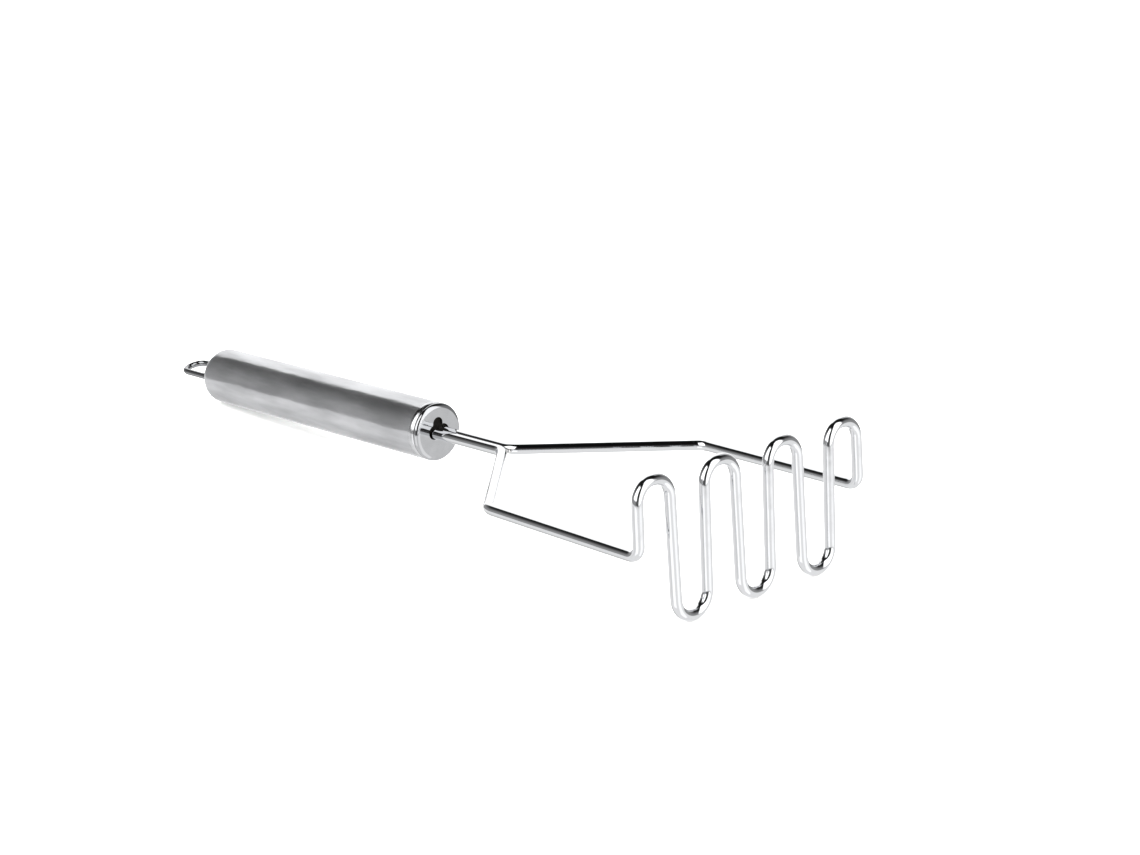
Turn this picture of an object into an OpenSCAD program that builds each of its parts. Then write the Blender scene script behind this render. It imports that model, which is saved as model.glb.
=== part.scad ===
// Wire potato masher: one bent wire, with a wavy mashing face, held in a hollow round handle.
// Millimetres. The part lies as it rests on a table: +Z is up and z = 0 is the table.
// The handle runs towards +Y, the mashing face is at the -Y end, and X runs across the face.
// The origin is on the table, under the middle of the part's length and width.
// Inside rest() the handle's axis is the line x = 0, z = 0 and the face's two corners are at y = 0.

/* [Face] */
// Thickness of the mashing wire
wire_d = 3.5; // [2.5:0.1:5]
// Distance from one upright run of wire to the next, centre to centre
run_pitch = 13.5; // [10:0.1:20]
// Height of the upper bends' centre line above the handle's axis
face_up = 20; // [12:0.5:30]
// Depth of the lower bends' centre line below the handle's axis
face_down = 22.5; // [12:0.5:30]
// Centre-line radius of each upper and lower bend
wave_r = 6.1; // [4:0.1:8]
// How far the odd runs lean towards the next run, over their height, in degrees
lean_odd = 0.5; // [-3:0.1:3]
// How far the even runs lean back towards the run before, in degrees
lean_even = 1.6; // [-3:0.1:3]
// How far the whole face leans back towards the handle, in degrees
face_lean = 2.3; // [-10:0.1:10]

/* [Yoke] */
// Length of the two straight legs, from the face to the shoulders
leg_len = 63; // [40:0.5:90]
// How far the legs drop from the shoulders to the face
leg_drop = 1.2; // [0:0.1:6]
// Half the distance between the two shoulders, centre to centre
shoulder_x = 46.5; // [30:0.5:60]
// Length along the handle's axis of the two slanting arms
arm_run = 42.5; // [25:0.5:60]
// Length of the double shank, from the arms to the handle
shank_len = 34.5; // [15:0.5:60]
// Gap between the two wires of the shank
shank_gap = 0.1; // [0.05:0.05:1]
// Centre-line radius of the bends at the shoulders and the neck
yoke_r = 6; // [3:0.1:8]
// Centre-line radius of the two tight bends where the legs meet the face
corner_r = 3.4; // [2.6:0.1:6]

/* [Handle] */
// Outer diameter of the handle
tube_d = 19.5; // [16:0.5:28]
// Wall thickness of the handle tube
tube_wall = 0.8; // [0.5:0.1:2]
// Length of the handle, from the seam at the front cap to the rear end
handle_len = 119; // [90:1:150]
// How far the front cap stands out of the tube
cap_out = 1.8; // [1:0.1:4]
// Rounding of the front cap's rim
cap_round = 1.6; // [0.5:0.1:3]
// Length of each cap's skirt inside the tube
skirt_len = 8; // [4:0.5:15]
// Rounding of the handle's rear end
rear_round = 4.6; // [2:0.1:9]

/* [Hanging loop] */
// Thickness of the loop's wire
loop_d = 2.3; // [1.5:0.1:4]
// Half the width of the loop, to the wire's centre line
loop_x = 4.4; // [3:0.1:8]
// How far the loop's centre line reaches behind the handle
loop_out = 18.5; // [10:0.5:30]
// How far the loop is turned round the handle's axis, in degrees
loop_roll = 10; // [-20:1:20]

/* [Hidden] */
$fn = 96;

wire_r = wire_d / 2;
tube_r = tube_d / 2;
bore_r = tube_r - tube_wall;
shank_x = (wire_d + shank_gap) / 2;
neck_y = leg_len + arm_run;
seam_y = neck_y + shank_len;
cap_y = seam_y - cap_out;
end_y = seam_y + handle_len;
rear_seam_y = end_y - rear_round - 2;
sheet = 0.8;
skirt_r = bore_r - 0.02;
slot_half_w = shank_x + wire_r + 0.65;
slot_half_h = wire_r + 0.6;
slot_up = 0.3;
notch_r = 2;
notch_x = -0.4;
notch_up = 3.2;
wire_end_y = seam_y + 6;
loop_end_y = end_y - 5;
// A bend is this much thicker than the straight it joins, so that the two faces never coincide.
step = 0.004;
lap = 0.08;

// The part rests on the lower bends and on the rear of the handle.
low_z = -(face_down + wire_r);
rest_run = end_y - rear_round;
rest_tilt = atan((-low_z - tube_r) / rest_run);
front_y = -wire_r - (face_down - leg_drop) * tan(face_lean);
front_rest = front_y * cos(rest_tilt) - face_down * sin(rest_tilt);
back_rest = (end_y + loop_out) * cos(rest_tilt) + loop_d / 2;
mid_y = (front_rest + back_rest) / 2;
lift_z = tube_r * cos(rest_tilt) + rest_run * sin(rest_tilt);

// Vector help.
function unit(v) = v / norm(v);
function turn(a, b, c) = acos(max(-1, min(1, unit(b - a) * unit(c - b))));
function trim(a, b, c, r) = r * tan(turn(a, b, c) / 2);

// Centre line of the face at run n (1 to 8), at height z.
function run_lean(n) = n % 2 == 1 ? tan(lean_odd) : -tan(lean_even);
function run_x(n, z) = (n - 4.5) * run_pitch + run_lean(n) * (z + leg_drop);
function face_point(n, z) = [run_x(n, z), (z + leg_drop) * tan(face_lean), z];

// The wavy face: up run 1, over, down run 2, under, and so on to run 8.
face_path = [
  face_point(1, -leg_drop),
  for (n = [1:2:7])
    for (q = n == 7 ? [0:1] : [0:3])
      face_point(n + [0, 1, 1, 2][q], [face_up, face_up, -face_down, -face_down][q]),
  face_point(8, -leg_drop)
];
left_in = [[-shank_x, wire_end_y, 0], [-shank_x, neck_y, 0], [-shoulder_x, leg_len, 0]];
right_out = [[shoulder_x, leg_len, 0], [shank_x, neck_y, 0], [shank_x, wire_end_y, 0]];
wire_path = concat(left_in, face_path, right_out);
wire_bends = concat([yoke_r, yoke_r, corner_r], [for (i = [1:14]) wave_r], [corner_r, yoke_r, yoke_r]);

loop_path = [[-loop_x, loop_end_y, 0], [-loop_x, end_y + loop_out, 0],
             [loop_x, end_y + loop_out, 0], [loop_x, loop_end_y, 0]];
loop_bends = [loop_x - 0.2, loop_x - 0.2];

// Puts children's Z axis along the unit vector w, with u across it.
module along(o, u, w) {
  v = cross(w, u);
  multmatrix([[u[0], v[0], w[0], o[0]],
              [u[1], v[1], w[1], o[1]],
              [u[2], v[2], w[2], o[2]],
              [0, 0, 0, 1]])
    children();
}

// One straight round bar from a to b.
module bar(a, b, r) {
  w = unit(b - a);
  pick = abs(w[2]) < 0.9 ? [0, 0, 1] : [1, 0, 0];
  along(a, unit(cross(pick, w)), w)
    cylinder(r = r, h = norm(b - a));
}

// One bend of a round bar at corner b, on the way from a to c.
module bend(a, b, c, bend_r, r) {
  d = unit(b - a);
  e = unit(c - b);
  t = turn(a, b, c);
  n = unit(e - (d * e) * d);
  start = b - d * trim(a, b, c, bend_r);
  along(start + n * bend_r, -n, cross(-n, d))
    rotate_extrude(angle = t)
      translate([bend_r, 0])
        circle(r = r);
}

// A round bar bent along a path, with one bend radius for each inner corner.
module bent_bar(path, bends, r) {
  last = len(path) - 1;
  cut = [for (i = [0:last]) i == 0 || i == last ? 0 : trim(path[i - 1], path[i], path[i + 1], bends[i - 1])];
  for (i = [0:last - 1]) {
    w = unit(path[i + 1] - path[i]);
    in_lap = i == 0 ? 0 : lap;
    out_lap = i == last - 1 ? 0 : lap;
    bar(path[i] + w * (cut[i] - in_lap), path[i + 1] - w * (cut[i + 1] - out_lap), r);
  }
  for (i = [1:last - 1])
    bend(path[i - 1], path[i], path[i + 1], bends[i - 1], r + step);
}

// Lays the part down from the handle's own axis to the way it rests on a table.
module rest() {
  translate([0, -mid_y, lift_z])
    rotate([-rest_tilt, 0, 0])
      children();
}

// Turns a shape made along Z so that it lies along the handle, from y upwards.
module handle_at(y) {
  translate([0, y, 0])
    rotate([-90, 0, 0])
      children();
}

// The mashing wire: two shank wires, two arms, two legs and the wavy face, all one length.
module mash_wire() {
  color([0.86, 0.87, 0.88])
    rest()
      bent_bar(wire_path, wire_bends, wire_r);
}

// A tack weld in the fork where the two wires of the shank part.
module shank_weld() {
  color([0.7, 0.7, 0.71])
    rest()
      difference() {
        translate([0, neck_y - 0.9, 0])
          rotate_extrude()
            polygon([[0, -1.1], [0.9, -1.1], [1.3, -0.7], [1.3, 0.7], [0.9, 1.1], [0, 1.1]]);
        bent_bar(left_in, [yoke_r], wire_r + 0.02);
        bent_bar(right_out, [yoke_r], wire_r + 0.02);
      }
}

// The weld bead that holds the wire's two ends behind the front cap.
module wire_weld() {
  color([0.55, 0.55, 0.56])
    rest()
      difference() {
        handle_at(cap_y + sheet)
          cylinder(r1 = 6.2, r2 = 4.6, h = 3);
        for (s = [-1, 1])
          translate([s * shank_x, 0, 0])
            handle_at(cap_y)
              cylinder(r = wire_r + 0.02, h = 6);
      }
}

// The opening that both wires pass through: a slot with a round notch above it.
module wire_hole() {
  side = slot_half_w - slot_half_h;
  translate([0, 0, slot_up]) {
    for (s = [-1, 1])
      translate([s * side, 0, 0])
        handle_at(cap_y - 1)
          cylinder(r = slot_half_h, h = 3);
    translate([-side, cap_y - 1, -slot_half_h])
      cube([2 * side, 3, 2 * slot_half_h]);
  }
  translate([notch_x, 0, notch_up])
    handle_at(cap_y - 1)
      cylinder(r = notch_r, h = 3);
}

// The front cap: a flat disc with a rounded rim, and a skirt pressed into the tube.
module front_cap() {
  color([0.8, 0.8, 0.81])
    rest()
      difference() {
        handle_at(cap_y)
          union() {
            rotate_extrude()
              union() {
                square([tube_r - cap_round, cap_out]);
                translate([0, cap_round])
                  square([tube_r, cap_out - cap_round]);
                translate([tube_r - cap_round, cap_round])
                  circle(r = cap_round);
              }
            cylinder(r = skirt_r, h = cap_out + skirt_len);
          }
        handle_at(cap_y + sheet)
          cylinder(r = skirt_r - sheet, h = cap_out + skirt_len);
        wire_hole();
      }
}

// The handle's tube. Its front edge is eased, so that a fine line shows round the cap.
module handle_tube() {
  ease = 0.3;
  color([0.72, 0.72, 0.73])
    rest()
      handle_at(seam_y)
        rotate_extrude()
          polygon([[bore_r, 0], [tube_r - ease, 0], [tube_r, ease],
                   [tube_r, rear_seam_y - seam_y], [bore_r, rear_seam_y - seam_y]]);
}

// The rear cap: a drawn cup with a rounded end, two holes for the loop, and a skirt in the tube.
module rear_cap() {
  body = end_y - rear_seam_y;
  color([0.72, 0.72, 0.73])
    rest()
      difference() {
        handle_at(rear_seam_y)
          union() {
            cylinder(r = tube_r, h = body - rear_round);
            cylinder(r = tube_r - rear_round, h = body);
            translate([0, 0, body - rear_round])
              rotate_extrude()
                intersection() {
                  translate([tube_r - rear_round, 0])
                    circle(r = rear_round);
                  square([tube_r, rear_round]);
                }
            translate([0, 0, -skirt_len])
              cylinder(r = skirt_r, h = skirt_len + 1);
          }
        handle_at(rear_seam_y - skirt_len - 1)
          cylinder(r = skirt_r - sheet, h = skirt_len + 1 + body - rear_round);
        handle_at(rear_seam_y)
          cylinder(r = tube_r - rear_round, h = body - sheet);
        rotate([0, -loop_roll, 0])
          for (s = [-1, 1])
            translate([s * loop_x, 0, 0])
              handle_at(end_y - 3)
                cylinder(r = loop_d / 2 + 0.05, h = 5);
      }
}

// The weld bead that holds the loop's two ends inside the rear cap.
module loop_weld() {
  color([0.55, 0.55, 0.56])
    rest()
      difference() {
        handle_at(loop_end_y - 0.5)
          cylinder(r = tube_r - rear_round - 0.05, h = end_y - sheet - loop_end_y + 0.45);
        rotate([0, -loop_roll, 0])
          for (s = [-1, 1])
            translate([s * loop_x, 0, 0])
              handle_at(loop_end_y - 0.1)
                cylinder(r = loop_d / 2 + 0.02, h = 8);
      }
}

// The hanging loop: one thin wire bent into a long U.
module hang_loop() {
  color([0.8, 0.8, 0.81])
    rest()
      rotate([0, -loop_roll, 0])
        bent_bar(loop_path, loop_bends, loop_d / 2);
}

mash_wire();
shank_weld();
wire_weld();
front_cap();
handle_tube();
rear_cap();
loop_weld();
hang_loop();
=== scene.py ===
"""Wire potato masher: polished and brushed stainless steel, lying on a white studio table.

Sizes are in millimetres in the handle's own frame: the handle's axis is the line x = 0, z = 0,
the mashing face is near y = 0 and the hanging loop is at the far end of +y.
lay_down() turns that frame into the part's own frame, in metres.
"""

import math

import bpy
import numpy as np
from mathutils import Matrix, Vector


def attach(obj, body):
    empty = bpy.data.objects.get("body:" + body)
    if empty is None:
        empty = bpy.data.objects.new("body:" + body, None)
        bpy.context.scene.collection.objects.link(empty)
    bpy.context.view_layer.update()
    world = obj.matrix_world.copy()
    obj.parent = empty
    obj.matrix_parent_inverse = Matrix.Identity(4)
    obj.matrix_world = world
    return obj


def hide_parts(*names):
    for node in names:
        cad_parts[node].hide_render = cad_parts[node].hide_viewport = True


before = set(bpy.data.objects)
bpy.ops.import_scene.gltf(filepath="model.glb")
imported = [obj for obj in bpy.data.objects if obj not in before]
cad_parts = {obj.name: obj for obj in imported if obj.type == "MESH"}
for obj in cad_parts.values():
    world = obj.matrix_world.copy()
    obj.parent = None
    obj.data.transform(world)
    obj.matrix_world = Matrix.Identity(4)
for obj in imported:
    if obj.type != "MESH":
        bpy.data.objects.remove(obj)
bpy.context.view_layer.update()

# ---------------------------------------------------------------- sizes of the real thing, mm

WIRE_R = 1.75
RUN_PITCH = 13.5
FACE_UP, FACE_DOWN = 20.0, 22.5
WAVE_R, CORNER_R, YOKE_R = 6.1, 3.4, 6.0
LEAN_ODD, LEAN_EVEN, FACE_LEAN = 0.5, 1.6, 2.3
LEG_LEN, LEG_DROP = 63.0, 1.2
SHOULDER_X, SHANK_X = 46.5, 1.8
NECK_Y, SEAM_Y = 105.5, 140.0
TUBE_R, TUBE_WALL = 9.75, 0.8
CAP_OUT, CAP_ROUND, SHEET, SKIRT_LEN = 1.8, 1.6, 0.8, 8.0
END_Y, REAR_ROUND = 259.0, 4.6
LOOP_R, LOOP_X, LOOP_OUT, LOOP_ROLL = 1.15, 4.4, 18.5, 10.0
SLOT_HALF_W, SLOT_HALF_H, SLOT_UP = 4.2, 2.35, 0.3
NOTCH_R, NOTCH_X, NOTCH_UP = 2.0, -0.4, 3.2

BORE_R = TUBE_R - TUBE_WALL
ONCE_ROUND = 2 * math.pi * TUBE_R / 1000
JOINT_AT = 0.00005
SKIRT_R = BORE_R - 0.02
REAR_SEAM_Y = END_Y - REAR_ROUND - 2
WIRE_END_Y, LOOP_END_Y = SEAM_Y + 6, END_Y - 5

# The way the part rests on a table: on the face's lower bends and the handle's rear end.
REST_RUN = END_Y - REAR_ROUND
REST_TILT = math.atan((FACE_DOWN + WIRE_R - TUBE_R) / REST_RUN)
COS_T, SIN_T = math.cos(REST_TILT), math.sin(REST_TILT)
FRONT_Y = -WIRE_R - (FACE_DOWN - LEG_DROP) * math.tan(math.radians(FACE_LEAN))
MID_Y = (FRONT_Y * COS_T - FACE_DOWN * SIN_T + (END_Y + LOOP_OUT) * COS_T + LOOP_R) / 2
LIFT_Z = TUBE_R * COS_T + REST_RUN * SIN_T


def lay_down(points):
    """Turns points by the rest tilt about x, then moves them by (0, -MID_Y, LIFT_Z): mm to metres."""
    x, y, z = points[..., 0], points[..., 1], points[..., 2]
    laid = np.stack([x, y * COS_T + z * SIN_T - MID_Y, z * COS_T - y * SIN_T + LIFT_Z], axis=-1)
    return laid / 1000


# ---------------------------------------------------------------- surfaces from grids

def grid_faces(rows, cols, wrap_rows, wrap_cols, first=0):
    """Quads between neighbours of a rows x cols grid of points, joined round where it wraps."""
    i = np.arange(rows if wrap_rows else rows - 1)
    j = np.arange(cols if wrap_cols else cols - 1)
    i, j = np.meshgrid(i, j, indexing="ij")
    i2, j2 = (i + 1) % rows, (j + 1) % cols
    quads = np.stack([i * cols + j, i * cols + j2, i2 * cols + j2, i2 * cols + j], axis=-1)
    return quads.reshape(-1, 4) + first


def skin(name, points, faces, uv=None, round_uv=0.0, grain=None):
    """Makes one smooth piece from laid-down points and quads or triangles, and links it.

    uv is (along, around) in metres; round_uv is the length of once around, so that the faces that
    close the circle don't run backwards. grain is a vector for patterns that follow the surface."""
    mesh = bpy.data.meshes.new(name)
    mesh.from_pydata(points.reshape(-1, 3).tolist(), [], [list(f) for f in faces])
    mesh.polygons.foreach_set("use_smooth", np.ones(len(mesh.polygons), dtype=bool))
    if uv is not None:
        corner = np.zeros(len(mesh.loops), dtype=np.int32)
        first = np.zeros(len(mesh.polygons), dtype=np.int32)
        mesh.loops.foreach_get("vertex_index", corner)
        mesh.polygons.foreach_get("loop_start", first)
        flat = uv.reshape(-1, 2)[corner].astype(float)
        top = np.repeat(np.maximum.reduceat(flat[:, 1], first), np.diff(np.append(first, len(corner))))
        flat[:, 1] += np.where(flat[:, 1] < top - round_uv / 2, round_uv, 0)
        mesh.uv_layers.new(name="along").data.foreach_set("uv", flat.astype(np.float32).ravel())
    if grain is not None:
        layer = mesh.attributes.new("grain", "FLOAT_VECTOR", "POINT")
        layer.data.foreach_set("vector", grain.astype(np.float32).ravel())
    mesh.set_sharp_from_angle(angle=math.radians(40))
    mesh.update()
    piece = bpy.data.objects.new(name, mesh)
    bpy.context.scene.collection.objects.link(piece)
    return piece


# ---------------------------------------------------------------- bent wires

def unit(v):
    return v / np.linalg.norm(v)


def spin(vectors, axis, angles):
    """Rodrigues: turns vectors (n, 3) about one axis by n angles."""
    c, s = np.cos(angles)[:, None], np.sin(angles)[:, None]
    return vectors * c + np.cross(axis, vectors) * s + axis * (vectors @ axis)[:, None] * (1 - c)


def centre_line(corners, bends, straight_step, bend_step):
    """Stations along a wire: straights joined by arcs that touch them, each arc with its own radius.

    The section's own frame is carried along without twist: it stays the same on a straight, and
    turns with the arc on a bend. Returns points, the frame's two cross axes, the bend's inward
    direction and how much each station is bent (0 on a straight, 1 in a bend)."""
    corners = np.asarray(corners, float)
    way = [unit(b - a) for a, b in zip(corners[:-1], corners[1:])]
    u = unit(np.cross(way[0], [0.3, 0.1, 1.0]))
    v = np.cross(way[0], u)
    points, us, vs, inward, bent = [], [], [], [], []
    here = corners[0]
    for k, d in enumerate(way):
        last = k == len(way) - 1
        turn = 0 if last else math.acos(np.clip(d @ way[k + 1], -1, 1))
        trim = 0 if last else bends[k] * math.tan(turn / 2)
        end = corners[k + 1] - d * trim
        n = max(2, int(np.linalg.norm(end - here) / straight_step))
        t = np.linspace(0, 1, n, endpoint=False)[:, None]
        points.append(here + (end - here) * t)
        us.append(np.repeat(u[None], n, 0))
        vs.append(np.repeat(v[None], n, 0))
        inward.append(np.zeros((n, 3)))
        bent.append(np.zeros(n))
        if last:
            points.append(end[None])
            us.append(u[None])
            vs.append(v[None])
            inward.append(np.zeros((1, 3)))
            bent.append(np.zeros(1))
            break
        to_middle = unit(way[k + 1] - (d @ way[k + 1]) * d)
        axis = np.cross(d, to_middle)
        middle = end + to_middle * bends[k]
        n = max(6, int(turn * bends[k] / bend_step))
        angle = np.linspace(0, turn, n, endpoint=False)
        points.append(middle + spin(np.repeat((end - middle)[None], n, 0), axis, angle))
        us.append(spin(np.repeat(u[None], n, 0), axis, angle))
        vs.append(spin(np.repeat(v[None], n, 0), axis, angle))
        inward.append(spin(np.repeat(to_middle[None], n, 0), axis, angle))
        bent.append(np.ones(n))
        u = spin(u[None], axis, np.array([turn]))[0]
        v = spin(v[None], axis, np.array([turn]))[0]
        here = middle + spin((end - middle)[None], axis, np.array([turn]))[0]
    return tuple(np.concatenate(a) for a in (points, us, vs, inward, bent))


def bent_wire(name, corners, bends, radius, sides=48, straight_step=2.0, bend_step=0.42, roll=0.0):
    """A round section carried along a bent centre line, closed by a shallow dome at each end.

    In a bend the section is squeezed by 1.2% towards the bend's middle, as a bent wire is."""
    points, u, v, inward, bent = centre_line(corners, bends, straight_step, bend_step)
    phi = np.linspace(0, 2 * np.pi, sides, endpoint=False)
    out = u[:, None] * np.cos(phi)[None, :, None] + v[:, None] * np.sin(phi)[None, :, None]
    squeeze = np.convolve(bent, np.ones(5) / 5, mode="same")[:, None]
    towards = np.einsum("nsk,nk->ns", out, inward)
    reach = radius * (1 - 0.012 * squeeze * (2 * towards**2 - 1))
    rings = points[:, None] + out * reach[..., None]
    length = np.concatenate([[0], np.cumsum(np.linalg.norm(np.diff(points, axis=0), axis=1))])
    grain = np.stack(np.broadcast_arrays(length[:, None] / 60, radius * np.cos(phi)[None],
                                         radius * np.sin(phi)[None]), axis=-1)
    start, stop = points[0] - unit(points[1] - points[0]) * 0.2, points[-1] + unit(points[-1] - points[-2]) * 0.2
    rows = len(points)
    faces = [list(f) for f in grid_faces(rows, sides, False, True)]
    j = np.arange(sides)
    faces += [[rows * sides, b, a] for a, b in zip(j, (j + 1) % sides)]
    tail = (rows - 1) * sides
    faces += [[rows * sides + 1, tail + a, tail + b] for a, b in zip(j, (j + 1) % sides)]
    everything = np.concatenate([rings.reshape(-1, 3), start[None], stop[None]])
    if roll:
        c, s = math.cos(math.radians(roll)), math.sin(math.radians(roll))
        everything = everything @ np.array([[c, 0, s], [0, 1, 0], [-s, 0, c]])
    grain = np.concatenate([grain.reshape(-1, 3), grain[0, :1], grain[-1, :1]])
    return skin(name, lay_down(everything), faces, grain=grain / 1000)


def face_point(run, z):
    """Centre line of an upright run (1 to 8) at height z: odd and even runs lean opposite ways."""
    lean = math.tan(math.radians(LEAN_ODD)) if run % 2 else -math.tan(math.radians(LEAN_EVEN))
    rise = z + LEG_DROP
    return [(run - 4.5) * RUN_PITCH + lean * rise, rise * math.tan(math.radians(FACE_LEAN)), z]


def masher_corners():
    """Corner points and bend radii of the one wire: shank, arm, leg, eight runs, and back again."""
    wave = [face_point(1, -LEG_DROP)]
    for run in range(1, 9):
        ends = (FACE_UP, -FACE_DOWN) if run % 2 == 0 else (-FACE_DOWN, FACE_UP)
        wave += [face_point(run, z) for z in ends[(run == 1):]][: 1 if run == 8 else 2]
    wave.append(face_point(8, -LEG_DROP))
    left = [[-SHANK_X, WIRE_END_Y, 0], [-SHANK_X, NECK_Y, 0], [-SHOULDER_X, LEG_LEN, 0]]
    right = [[-x, y, z] for x, y, z in reversed(left)]
    bends = [YOKE_R, YOKE_R, CORNER_R] + [WAVE_R] * 14 + [CORNER_R, YOKE_R, YOKE_R]
    return left + wave + right, bends


# ---------------------------------------------------------------- turned pieces

def arc(centre, radius, a0, a1, n):
    """Points (r, y) on an arc from angle a0 to a1 in degrees; radius may be (r, y) of an ellipse."""
    rr, ry = (radius, radius) if np.isscalar(radius) else radius
    a = np.radians(np.linspace(a0, a1, n))
    return np.stack([centre[0] + rr * np.cos(a), centre[1] + ry * np.sin(a)], axis=-1)


def turned(name, profile, sides=192):
    """A closed profile of (r, y) points turned round the handle's axis."""
    r, y = profile[:, 0], profile[:, 1]
    phi = np.linspace(0, 2 * np.pi, sides, endpoint=False)
    ring = np.stack([r[:, None] * np.sin(phi), np.broadcast_to(y[:, None], (len(r), sides)),
                     r[:, None] * np.cos(phi)], axis=-1)
    uv = np.stack(np.broadcast_arrays(y[:, None] / 1000, phi[None] * TUBE_R / 1000), axis=-1)
    return skin(name, lay_down(ring), grid_faces(len(r), sides, True, True), uv, ONCE_ROUND, behind_joint(ring))


def behind_joint(points):
    """The grain of turned pieces: its x is the distance behind the joint of cap and tube, in metres."""
    return (points[..., 1:2] - SEAM_Y) * [1, 0, 0] / 1000


def hole_rim(phi):
    """Distance from the axis to the rim of the wires' opening, for each angle: the way out of a bar
    with round ends and a round notch above it."""
    out = np.linspace(0, 9, 3001)[:, None]
    x, z = np.sin(phi) * out, np.cos(phi) * out
    side = np.maximum(np.abs(x) - SLOT_HALF_W + SLOT_HALF_H, 0)
    clear = (np.hypot(side, z - SLOT_UP) > SLOT_HALF_H) & (np.hypot(x - NOTCH_X, z - NOTCH_UP) > NOTCH_R)
    return out[np.argmax(clear, axis=0), 0]


def front_cap(name, sides=192):
    """The cap's section carried round the axis, starting and ending at the hole's rim.

    Each station of the section is a mix of the hole's rim and a circle: weight 0 is on the rim."""
    face_y = SEAM_Y - CAP_OUT
    flat_r = TUBE_R - CAP_ROUND
    t = np.linspace(0, 1, 14)
    rim = arc((flat_r, face_y + 1.3), (CAP_ROUND, 1.3), -90, 0, 16)
    burr = 0.22
    # weight towards the circle, circle radius, y
    front = [(0.0, flat_r, face_y + burr), (0.006, flat_r, face_y + 0.05), (0.02, flat_r, face_y - 0.0)]
    front += [(w, flat_r, face_y + 0.015 * math.sin(math.pi * w) ** 2) for w in t[1:-1]]
    front += [(1.0, r, y) for r, y in rim]
    front += [(1.0, TUBE_R - 0.06, SEAM_Y - 0.3), (1.0, TUBE_R - 0.25, SEAM_Y - 0.12),
              (1.0, TUBE_R - 0.55, SEAM_Y - 0.02), (1.0, SKIRT_R, SEAM_Y), (1.0, SKIRT_R, SEAM_Y + SKIRT_LEN)]
    back = [(1.0, SKIRT_R - SHEET, SEAM_Y + SKIRT_LEN), (1.0, SKIRT_R - SHEET, face_y + SHEET + 0.8),
            (1.0, SKIRT_R - SHEET - 0.8, face_y + SHEET), (0.02, flat_r, face_y + SHEET),
            (0.0, flat_r, face_y + SHEET - 0.1)]
    section = np.array(front + back)
    phi = np.linspace(0, 2 * np.pi, sides, endpoint=False)
    w, r, y = (section[:, k, None] for k in range(3))
    reach = (1 - w) * hole_rim(phi)[None] + w * r
    ring = np.stack([reach * np.sin(phi), np.broadcast_to(y, reach.shape), reach * np.cos(phi)], axis=-1)
    uv = np.stack(np.broadcast_arrays(reach / 1000, phi[None] * TUBE_R / 1000), axis=-1)
    return skin(name, lay_down(ring), grid_faces(len(section), sides, True, True), uv, ONCE_ROUND, behind_joint(ring))


def handle_tube(name):
    """A thin tube whose front edge is rolled in a little, so that its end catches the light."""
    bend, nose, tip_y = 2.8, 0.25, SEAM_Y + 0.25
    drop, run = bend * (1 - math.cos(math.radians(35))), bend * math.sin(math.radians(35))
    lip = arc((TUBE_R - bend, tip_y + run), bend, -35, 0, 14)
    tip = arc((TUBE_R - drop - nose * math.cos(math.radians(35)), tip_y + nose * math.sin(math.radians(35))), nose, -90, -35, 6)
    length = np.linspace(tip_y + run + 0.5, REAR_SEAM_Y, 60)
    outer = np.stack([np.full(60, TUBE_R), length], axis=-1)
    inner = np.array([[BORE_R, REAR_SEAM_Y], [BORE_R, SEAM_Y + 0.3]])
    return turned(name, np.concatenate([tip[:-1], lip, outer, inner]))


def rear_dome(r):
    """y of the rear cap's outside at distance r from the axis: flat, then a quarter round."""
    return END_Y - REAR_ROUND + np.sqrt(np.maximum(REAR_ROUND**2 - np.maximum(r - TUBE_R + REAR_ROUND, 0) ** 2, 0))


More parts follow.
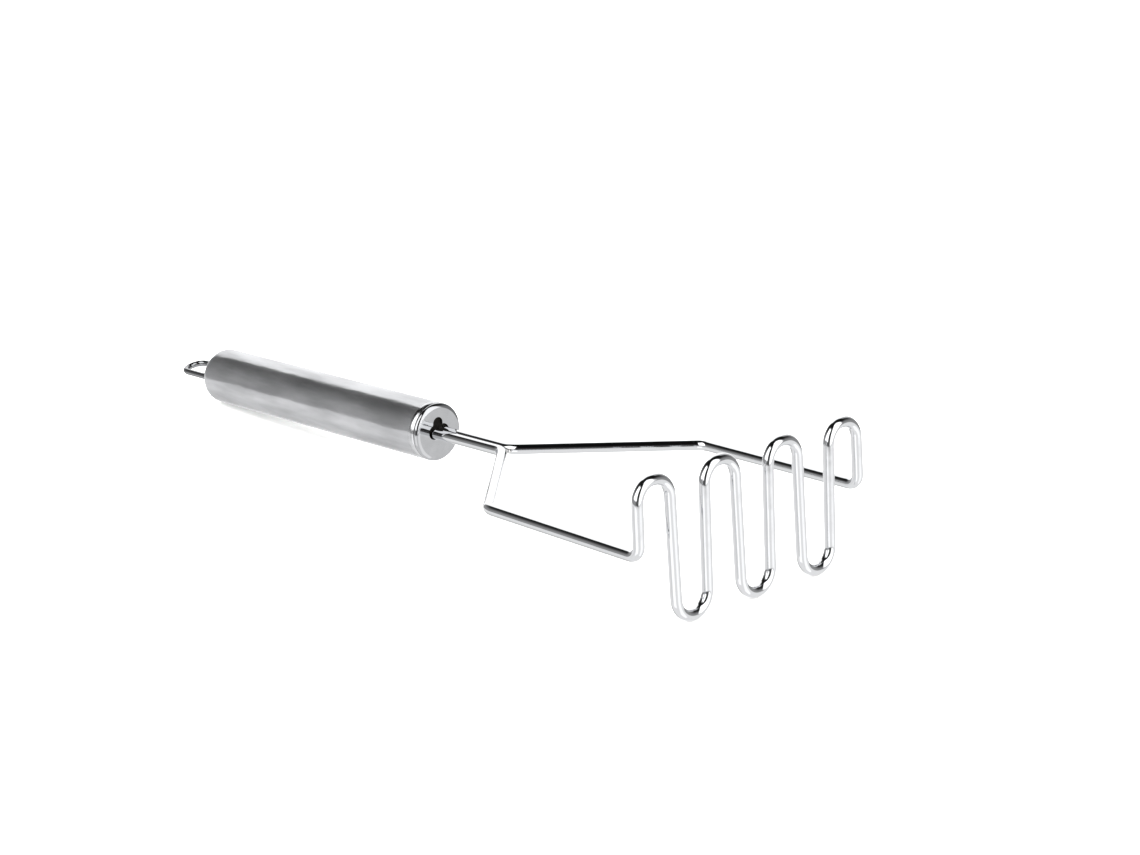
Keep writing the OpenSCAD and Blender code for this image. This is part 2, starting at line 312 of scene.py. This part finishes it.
def rear_cap(name, half=96, across=24, rings=10):
    """A drawn cup with two holes. On each half of the end, points run from a hole's rim out to that
    half's own outline, which is half a circle closed by the middle line; from the circle the wall
    runs on as a turned surface, down to the skirt and back up inside."""
    hole_r, meet_r = LOOP_R + 0.05, 8.9
    inner_r = SKIRT_R - SHEET
    a = np.linspace(0, np.pi, half + 1)
    line = meet_r * np.cos(np.linspace(0, np.pi, across + 1))[::-1][1:-1]
    outline = np.concatenate([np.stack([meet_r * np.sin(a), meet_r * np.cos(a)], axis=-1),
                              np.stack([np.zeros(across - 1), line], axis=-1)])
    hole = np.array([LOOP_X, 0.0])
    way = outline - hole
    rim = hole + hole_r * way / np.linalg.norm(way, axis=1)[:, None]
    t = (np.linspace(0, 1, rings) ** 1.3)[:, None, None]
    flat = rim + (outline - rim) * t
    r = np.hypot(flat[..., 0], flat[..., 1])
    outer = np.stack([flat[..., 0], rear_dome(r), flat[..., 1]], axis=-1)
    pull = 1 - (1 - inner_r / TUBE_R) * (r / meet_r) ** 2
    inner = np.stack([flat[..., 0] * pull, rear_dome(r) - SHEET, flat[..., 1] * pull], axis=-1)
    end = np.concatenate([inner[::-1], outer])
    points = [end.reshape(-1, 3), (end * [-1, 1, 1]).reshape(-1, 3)]
    columns = len(outline)
    side = grid_faces(2 * rings, columns, False, True)
    count = 2 * rings * columns
    faces = [side[:, ::-1], side + count]

    meet_a = math.degrees(math.acos((meet_r - TUBE_R + REAR_ROUND) / REAR_ROUND))
    shoulder = arc((TUBE_R - REAR_ROUND, END_Y - REAR_ROUND), REAR_ROUND, meet_a, 0, 14)
    wall = np.concatenate([shoulder, [[TUBE_R, REAR_SEAM_Y + 0.8], [TUBE_R, REAR_SEAM_Y + 0.02], [SKIRT_R, REAR_SEAM_Y],
                                      [SKIRT_R, REAR_SEAM_Y - SKIRT_LEN], [inner_r, REAR_SEAM_Y - SKIRT_LEN],
                                      [inner_r, END_Y - REAR_ROUND], [meet_r * inner_r / TUBE_R, rear_dome(meet_r) - SHEET]]])
    ring_a = np.linspace(0, 2 * np.pi, 2 * half, endpoint=False)
    wr, wy = wall[:, 0, None], wall[:, 1, None]
    ring = np.stack([wr * np.sin(ring_a), np.broadcast_to(wy, (len(wall), 2 * half)), wr * np.cos(ring_a)], axis=-1)
    points.append(ring.reshape(-1, 3))
    faces.append(grid_faces(len(wall), 2 * half, False, True, 2 * count))
    points, faces = np.concatenate(points), np.concatenate(faces)

    turn = math.radians(LOOP_ROLL)
    points = points @ np.array([[math.cos(turn), 0, math.sin(turn)], [0, 1, 0], [-math.sin(turn), 0, math.cos(turn)]])
    _, keep, same = np.unique(np.round(points, 4), axis=0, return_index=True, return_inverse=True)
    points, faces = points[keep], same.reshape(-1)[faces]
    around = np.arctan2(points[:, 0], points[:, 2]) % (2 * np.pi)
    over = points[:, 1] + np.maximum(TUBE_R - np.hypot(points[:, 0], points[:, 2]), 0)
    uv = np.stack([over / 1000, around * TUBE_R / 1000], axis=-1)
    return skin(name, lay_down(points), faces, uv, ONCE_ROUND, behind_joint(points))


def fork_weld(name, rows=40, sides=64):
    """A weld bead in the fork: an egg with three ripples, pinched where the two wires part."""
    t = np.linspace(0, np.pi, rows)[:, None]
    phi = np.linspace(0, 2 * np.pi, sides, endpoint=False)[None]
    ripple = 1 + 0.035 * np.cos(9 * t) * np.sin(t)
    x = 1.15 * np.sin(t) * np.sin(phi) * ripple
    y = NECK_Y - 0.9 + 1.1 * np.sin(t) * np.cos(phi) * ripple
    z = 0.85 * np.cos(t) * np.ones_like(phi)
    return skin(name, lay_down(np.stack(np.broadcast_arrays(x, y, z), axis=-1)), grid_faces(rows, sides, False, True))


# ---------------------------------------------------------------- finishes

def steel(hex_colour):
    """An sRGB hex colour as linear RGBA."""
    c = np.array([int(hex_colour[k:k + 2], 16) for k in (1, 3, 5)]) / 255
    return (*np.where(c <= 0.04045, c / 12.92, ((c + 0.055) / 1.055) ** 2.4), 1.0)


def add(tree, kind, inputs=None, **settings):
    """Adds a node; an input that is given a socket is linked to it, any other is set."""
    node = tree.nodes.new(kind)
    for key, value in settings.items():
        setattr(node, key, value)
    for key, value in (inputs or {}).items():
        if isinstance(value, bpy.types.NodeSocket):
            tree.links.new(value, node.inputs[key])
        else:
            node.inputs[key].default_value = value
    return node


def finish_of(name, colour, roughness):
    """A bare metal: its material, its tree and its shader."""
    material = bpy.data.materials.new(name)
    material.use_nodes = True
    tree = material.node_tree
    tree.nodes.clear()
    out = add(tree, "ShaderNodeOutputMaterial")
    shader = add(tree, "ShaderNodeBsdfPrincipled",
                 {"Base Color": steel(colour), "Metallic": 1.0, "Roughness": roughness})
    tree.links.new(shader.outputs["BSDF"], out.inputs["Surface"])
    return material, tree, shader


def per_mm(size):
    """Noise scale for blotches of this size in millimetres."""
    return 1000 / size


def polished_wire(name, colour, roughness):
    """Drawn stainless wire, electropolished: a clean mirror with the faint lengthwise lines of the
    die, and slow dents of a few millimetres that make long reflections waver."""
    material, tree, shader = finish_of(name, colour, roughness)
    grain = add(tree, "ShaderNodeAttribute", attribute_name="grain")
    place = add(tree, "ShaderNodeTexCoord")
    # Die lines are 0.02 mm apart; drawn at 0.35 mm so that they show at all.
    lines = add(tree, "ShaderNodeTexNoise", {"Vector": grain.outputs["Vector"], "Scale": per_mm(0.35), "Detail": 3.0})
    dents = add(tree, "ShaderNodeTexNoise", {"Vector": place.outputs["Object"], "Scale": per_mm(7.0), "Detail": 1.5})
    smears = add(tree, "ShaderNodeTexNoise", {"Vector": place.outputs["Object"], "Scale": per_mm(18.0), "Detail": 4.0})
    rough = add(tree, "ShaderNodeMapRange", {"Value": smears.outputs["Fac"], "From Min": 0.3, "From Max": 0.75,
                                             "To Min": roughness * 0.7, "To Max": roughness * 1.6})
    tree.links.new(rough.outputs["Result"], shader.inputs["Roughness"])
    wavy = add(tree, "ShaderNodeBump", {"Height": dents.outputs["Fac"], "Strength": 1.0, "Distance": 0.00009})
    fine = add(tree, "ShaderNodeBump", {"Height": lines.outputs["Fac"], "Strength": 1.0, "Distance": 0.000002,
                                        "Normal": wavy.outputs["Normal"]})
    tree.links.new(fine.outputs["Normal"], shader.inputs["Normal"])
    return material


def painted_joint_shade(tree, shader, colour):
    """Painted shade: the base colour goes near black in a thin band at the joint of the cap and the tube, where the
    deep groove would be in shade.
    """
    grain = add(tree, "ShaderNodeAttribute", attribute_name="grain")
    behind = add(tree, "ShaderNodeSeparateXYZ", {"Vector": grain.outputs["Vector"]})
    off = add(tree, "ShaderNodeMath", {0: behind.outputs["X"], 1: JOINT_AT}, operation="SUBTRACT")
    off = add(tree, "ShaderNodeMath", {0: off.outputs[0]}, operation="ABSOLUTE")
    # Full painted shade within 0.25 mm of the joint, fading out by 0.4 mm.
    clean = add(tree, "ShaderNodeMapRange", {"Value": off.outputs[0], "From Min": 0.00025, "From Max": 0.0004})
    paint = add(tree, "ShaderNodeMix", {0: clean.outputs["Result"], 7: colour}, data_type="RGBA")
    # Near-black colour of the painted shade in the groove.
    paint.inputs[6].default_value = steel("#242322")
    tree.links.new(paint.outputs[2], shader.inputs["Base Color"])
    return behind.outputs["X"]


def buffed_sheet(name, colour, roughness):
    """Pressed stainless sheet, buffed on a wheel: a mirror with faint arcs round the middle."""
    material, tree, shader = finish_of(name, colour, roughness)
    place = add(tree, "ShaderNodeTexCoord")
    along = add(tree, "ShaderNodeUVMap", uv_map="along")
    # Buffing lines run round the disc; they are 0.01 mm apart and drawn at 0.3 mm.
    squash = add(tree, "ShaderNodeMapping", {"Vector": along.outputs["UV"], "Scale": (1.0, 0.03, 1.0)})
    lines = add(tree, "ShaderNodeTexNoise", {"Vector": squash.outputs["Vector"], "Scale": per_mm(0.3), "Detail": 2.0})
    cloud = add(tree, "ShaderNodeTexNoise", {"Vector": place.outputs["Object"], "Scale": per_mm(5.0), "Detail": 4.0})
    rough = add(tree, "ShaderNodeMapRange", {"Value": cloud.outputs["Fac"], "From Min": 0.3, "From Max": 0.75,
                                             "To Min": roughness * 0.6, "To Max": roughness * 1.7})
    tree.links.new(rough.outputs["Result"], shader.inputs["Roughness"])
    wavy = add(tree, "ShaderNodeBump", {"Height": cloud.outputs["Fac"], "Strength": 1.0, "Distance": 0.00002})
    fine = add(tree, "ShaderNodeBump", {"Height": lines.outputs["Fac"], "Strength": 1.0, "Distance": 0.0000015,
                                        "Normal": wavy.outputs["Normal"]})
    tree.links.new(fine.outputs["Normal"], shader.inputs["Normal"])
    tint = add(tree, "ShaderNodeMix", {0: cloud.outputs["Fac"]}, data_type="RGBA")
    tint.inputs[6].default_value = steel("#b0b1b3")
    tint.inputs[7].default_value = steel(colour)
    # Painted shade where the cap meets the tube.
    painted_joint_shade(tree, shader, tint.outputs[2])
    return material


def satin_tube(name, colour, roughness):
    """Drawn stainless tube, rubbed to a satin on a soft belt: reflections keep their edges but blur,
    and hand pressure leaves long clouds of brighter and duller metal that make them waver."""
    material, tree, shader = finish_of(name, colour, roughness)
    place = add(tree, "ShaderNodeTexCoord")
    level = add(tree, "ShaderNodeMapping", {"Vector": place.outputs["Object"], "Rotation": (REST_TILT, 0, 0)})
    # Belt lines are 0.05 mm apart; drawn at 0.5 mm, and 40 times as long as they are wide.
    squash = add(tree, "ShaderNodeMapping", {"Vector": level.outputs["Vector"], "Scale": (1.0, 0.025, 1.0)})
    lines = add(tree, "ShaderNodeTexNoise", {"Vector": squash.outputs["Vector"], "Scale": per_mm(0.5), "Detail": 2.0})
    stretch = add(tree, "ShaderNodeMapping", {"Vector": level.outputs["Vector"], "Scale": (1.0, 0.22, 1.0)})
    cloud = add(tree, "ShaderNodeTexNoise", {"Vector": stretch.outputs["Vector"], "Scale": per_mm(5.0), "Detail": 3.0})
    rough = add(tree, "ShaderNodeMapRange", {"Value": lines.outputs["Fac"], "From Min": 0.3, "From Max": 0.7,
                                             "To Min": roughness * 0.85, "To Max": roughness * 1.15})
    tree.links.new(rough.outputs["Result"], shader.inputs["Roughness"])
    pressure = add(tree, "ShaderNodeMapRange", {"Value": cloud.outputs["Fac"], "From Min": 0.35, "From Max": 0.65})
    tint = add(tree, "ShaderNodeMix", {0: pressure.outputs["Result"]}, data_type="RGBA")
    tint.inputs[6].default_value = steel("#c8c9cb")
    tint.inputs[7].default_value = steel(colour)
    # Painted shade where the tube meets the cap.
    behind = painted_joint_shade(tree, shader, tint.outputs[2])
    wavy = add(tree, "ShaderNodeBump", {"Height": cloud.outputs["Fac"], "Strength": 1.0, "Distance": 0.00022})
    tree.links.new(wavy.outputs["Normal"], shader.inputs["Normal"])
    # The valleys of the rubbed surface scatter a third of the light widely, as a grey haze. The
    # tube's rolled front end was buffed with the cap, so it has none.
    rubbed = add(tree, "ShaderNodeMapRange", {"Value": behind, "From Min": 0.0019, "From Max": 0.0024, "To Min": 0.03, "To Max": 0.34})
    haze = add(tree, "ShaderNodeBsdfPrincipled", {"Base Color": tint.outputs[2], "Metallic": 1.0, "Roughness": 0.62})
    both = add(tree, "ShaderNodeMixShader", {0: rubbed.outputs["Result"], 1: shader.outputs["BSDF"], 2: haze.outputs["BSDF"]})
    tree.links.new(both.outputs["Shader"], tree.nodes["Material Output"].inputs["Surface"])
    return material


def weld_bead(name, dull, bright, roughness):
    """Bare weld metal with small ripples between a duller and a brighter colour. The fork's bead is cleaned metal, and
    the beads inside the handle get near-black colours as painted shade.
    """
    material, tree, shader = finish_of(name, bright, roughness)
    place = add(tree, "ShaderNodeTexCoord")
    ripple = add(tree, "ShaderNodeTexNoise", {"Vector": place.outputs["Object"], "Scale": per_mm(0.5), "Detail": 5.0})
    tint = add(tree, "ShaderNodeMix", {0: ripple.outputs["Fac"]}, data_type="RGBA")
    tint.inputs[6].default_value = steel(dull)
    tint.inputs[7].default_value = steel(bright)
    tree.links.new(tint.outputs[2], shader.inputs["Base Color"])
    bump = add(tree, "ShaderNodeBump", {"Height": ripple.outputs["Fac"], "Strength": 1.0, "Distance": 0.00004})
    tree.links.new(bump.outputs["Normal"], shader.inputs["Normal"])
    return material


# ---------------------------------------------------------------- the masher

def put(piece, material, slot, *nodes):
    """Gives a piece its finish and its body, and hides the CAD nodes it stands for; the slot is not used."""
    piece.data.materials.append(material)
    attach(piece, "root")
    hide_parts(*nodes)


wire_steel = polished_wire("electropolished_stainless_wire", "#dddee0", 0.05)
loop_steel = polished_wire("dull_stainless_thin_wire", "#98999b", 0.14)
cap_steel = buffed_sheet("buffed_stainless_sheet", "#c4c5c7", 0.06)
tube_steel = satin_tube("satin_stainless_tube", "#e0e1e3", 0.18)
clean_bead = weld_bead("electropolished_weld_bead", "#c2c1bf", "#dcdcdd", 0.10)
# Painted shade: the welds hidden inside the handle are coloured near black, so the cap's opening looks dark.
shade_painted_bead = weld_bead("weld_bead_painted_shade_inside_handle", "#1b1a19", "#33302d", 0.55)

masher = bent_wire("masher_wire", *masher_corners(), WIRE_R)
put(masher, wire_steel, "polished_wire", "mash_wire")
loop_y = END_Y + LOOP_OUT
loop = bent_wire("loop_wire", [[-LOOP_X, LOOP_END_Y, 0], [-LOOP_X, loop_y, 0], [LOOP_X, loop_y, 0], [LOOP_X, LOOP_END_Y, 0]],
                 [LOOP_X - 0.2] * 2, LOOP_R, sides=40, straight_step=1.0, bend_step=0.25, roll=LOOP_ROLL)
put(loop, loop_steel, "loop_wire", "hang_loop")
put(front_cap("front_cap_sheet"), cap_steel, "polished_cap", "front_cap")
put(handle_tube("handle_tube_skin"), tube_steel, "brushed_handle", "handle_tube")
put(rear_cap("rear_cap_cup"), tube_steel, "brushed_handle", "rear_cap")
put(fork_weld("fork_weld_bead"), clean_bead, "weld_metal", "shank_weld")
# The hidden beads behind the cap's opening get the near-black painted shade.
for hidden in ("wire_weld", "loop_weld"):
    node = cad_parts[hidden]
    node.data.materials.clear()
    node.data.materials.append(shade_painted_bead)


# ---------------------------------------------------------------- the studio

def plain(name, colour):
    """Matt white paper for the table and the cove."""
    material = bpy.data.materials.new(name)
    material.use_nodes = True
    shader = material.node_tree.nodes["Principled BSDF"]
    shader.inputs["Base Color"].default_value = steel(colour)
    shader.inputs["Roughness"].default_value = 0.9
    shader.inputs["Specular IOR Level"].default_value = 0.0
    return material


def table_and_cove():
    """A round white table that curves up into a wall far from the part: a profile turned about z."""
    far, lift = 3.0, 1.6
    a = np.radians(np.linspace(0, 88, 18))
    r = np.concatenate([[0.0], np.linspace(0.2, far - lift, 8), far - lift + lift * np.sin(a[1:]), [far + 0.1]])
    z = np.concatenate([np.zeros(9), lift * (1 - np.cos(a[1:])), [lift + 1.2]])
    phi = np.linspace(0, 2 * np.pi, 96, endpoint=False)
    ring = np.stack([r[:, None] * np.cos(phi), r[:, None] * np.sin(phi), np.broadcast_to(z[:, None], (len(r), 96))], axis=-1)
    cove = skin("studio_table", ring, grid_faces(len(r), 96, False, True)[:, ::-1])
    cove.data.materials.append(plain("matt_white_paper", "#f4f4f3"))
    return cove


table = table_and_cove()
table.visible_glossy = False

# Bearings in the studio are degrees to the right of the direction in which the camera looks,
# heights are degrees above the table: (from, to, low, high, soft edge, level). The steel sees only
# these; a lit panel is the brightest thing where it stands, a dark card takes light away.
LOOKING = math.radians(44.39)
LIT = [
    (-34, 21, -16, 50, 3, 1.40),      # lit paper behind the part
    (19, 46, -12, 50, 4, 0.60),       # its dim side
    (-158, -98, 9, 62, 4, 2.2),       # soft box at the left of the camera
    (94, 160, -6, 80, 4, 1.9),        # soft box at the right
    (98, 150, -62, -6, 6, 1.38),      # the pool of light that it throws on the table
    (-176, -124, -45, -8, 6, 1.45),   # the left soft box's pool
    (-26, 16, -66, -12, 8, 1.30),     # light from the paper on the table
]
DARK = [
    (-124, -92, -27, -10, 5, 0.14),   # dimmer stretch of the table under the left soft box
    (-72, -12, -66, -30, 9, 0.26),    # the part's own shade on the table
]


def window(tree, bearing, height, left, right, low, high, soft):
    """A soft-edged window in the sky: 1 inside, 0 outside."""
    inside = []
    for angle, start, end in ((bearing, left, right), (height, low, high)):
        off = add(tree, "ShaderNodeMath", {0: angle, 1: (start + end) / 2}, operation="SUBTRACT")
        off = add(tree, "ShaderNodeMath", {0: off.outputs[0]}, operation="ABSOLUTE")
        half = (end - start) / 2
        inside.append(add(tree, "ShaderNodeMapRange", {"Value": off.outputs[0], "From Min": half + soft, "From Max": half - soft},
                          interpolation_type="SMOOTHSTEP").outputs["Result"])
    return add(tree, "ShaderNodeMath", {0: inside[0], 1: inside[1]}, operation="MULTIPLY").outputs[0]


def studio_light():
    world = bpy.data.worlds.new("studio")
    bpy.context.scene.world = world
    world.use_nodes = True
    tree = world.node_tree
    tree.nodes.clear()
    where = add(tree, "ShaderNodeTexCoord")
    ahead = add(tree, "ShaderNodeVectorRotate", {"Vector": where.outputs["Generated"], "Angle": LOOKING}, rotation_type="Z_AXIS")
    part = add(tree, "ShaderNodeSeparateXYZ", {"Vector": ahead.outputs["Vector"]})
    bearing = add(tree, "ShaderNodeMath", {0: part.outputs["X"], 1: part.outputs["Y"]}, operation="ARCTAN2")
    bearing = add(tree, "ShaderNodeMath", {0: bearing.outputs[0]}, operation="DEGREES").outputs[0]
    height = add(tree, "ShaderNodeMath", {0: part.outputs["Z"]}, operation="ARCSINE")
    height = add(tree, "ShaderNodeMath", {0: height.outputs[0]}, operation="DEGREES").outputs[0]
    # Walls fade from the table's edge up into a dark room, and are dimmer round the camera.
    wall = add(tree, "ShaderNodeMapRange", {"Value": height, "From Min": 44.0, "From Max": 2.0, "To Min": 0.012, "To Max": 0.34},
               interpolation_type="SMOOTHSTEP")
    turned_away = add(tree, "ShaderNodeMath", {0: bearing}, operation="ABSOLUTE")
    shade = add(tree, "ShaderNodeMapRange", {"Value": turned_away.outputs[0], "From Min": 135.0, "From Max": 160.0,
                                             "To Min": 1.0, "To Max": 0.32})
    wall = add(tree, "ShaderNodeMath", {0: wall.outputs["Result"], 1: shade.outputs["Result"]}, operation="MULTIPLY")
    table_top = add(tree, "ShaderNodeMapRange", {"Value": height, "From Min": -5.0, "From Max": -10.0}, interpolation_type="SMOOTHSTEP")
    light = add(tree, "ShaderNodeMath", {0: wall.outputs[0], 1: table_top.outputs["Result"]}, operation="MAXIMUM").outputs[0]
    for *edges, level in LIT:
        lit = add(tree, "ShaderNodeMath", {0: window(tree, bearing, height, *edges), 1: level}, operation="MULTIPLY")
        light = add(tree, "ShaderNodeMath", {0: light, 1: lit.outputs[0]}, operation="MAXIMUM").outputs[0]
    for *edges, depth in DARK:
        kept = add(tree, "ShaderNodeMath", {0: window(tree, bearing, height, *edges), 1: -depth, 2: 1.0}, operation="MULTIPLY_ADD")
        light = add(tree, "ShaderNodeMath", {0: light, 1: kept.outputs[0]}, operation="MULTIPLY").outputs[0]
    sky = add(tree, "ShaderNodeBackground", {"Color": (1, 1, 1, 1), "Strength": light})
    out = add(tree, "ShaderNodeOutputWorld")
    tree.links.new(sky.outputs[0], out.inputs["Surface"])


studio_light()

lamp = bpy.data.lights.new("overhead", "SUN")
lamp.energy = 11.0
lamp.angle = math.radians(160)
overhead = bpy.data.objects.new("overhead", lamp)
overhead.rotation_euler = (math.radians(12), math.radians(-14), 0)
overhead.visible_glossy = False
bpy.context.scene.collection.objects.link(overhead)

# ---------------------------------------------------------------- the camera

TURN, HEIGHT, ROLL = math.radians(44.39), math.radians(17.588), math.radians(1.119)
EYE = Vector((-0.4947, -0.5660, 0.2570))
lens = bpy.data.cameras.new("studio_camera")
lens.sensor_width = 36.0
lens.lens = 75.72
lens.clip_start, lens.clip_end = 0.05, 50
camera = bpy.data.objects.new("studio_camera", lens)
look = Matrix.Rotation(-TURN, 4, "Z") @ Matrix.Rotation(math.pi / 2 - HEIGHT, 4, "X") @ Matrix.Rotation(ROLL, 4, "Z")
camera.matrix_world = Matrix.Translation(EYE) @ look
bpy.context.scene.collection.objects.link(camera)
bpy.context.scene.camera = camera
bpy.context.scene.view_settings.view_transform = "Standard"
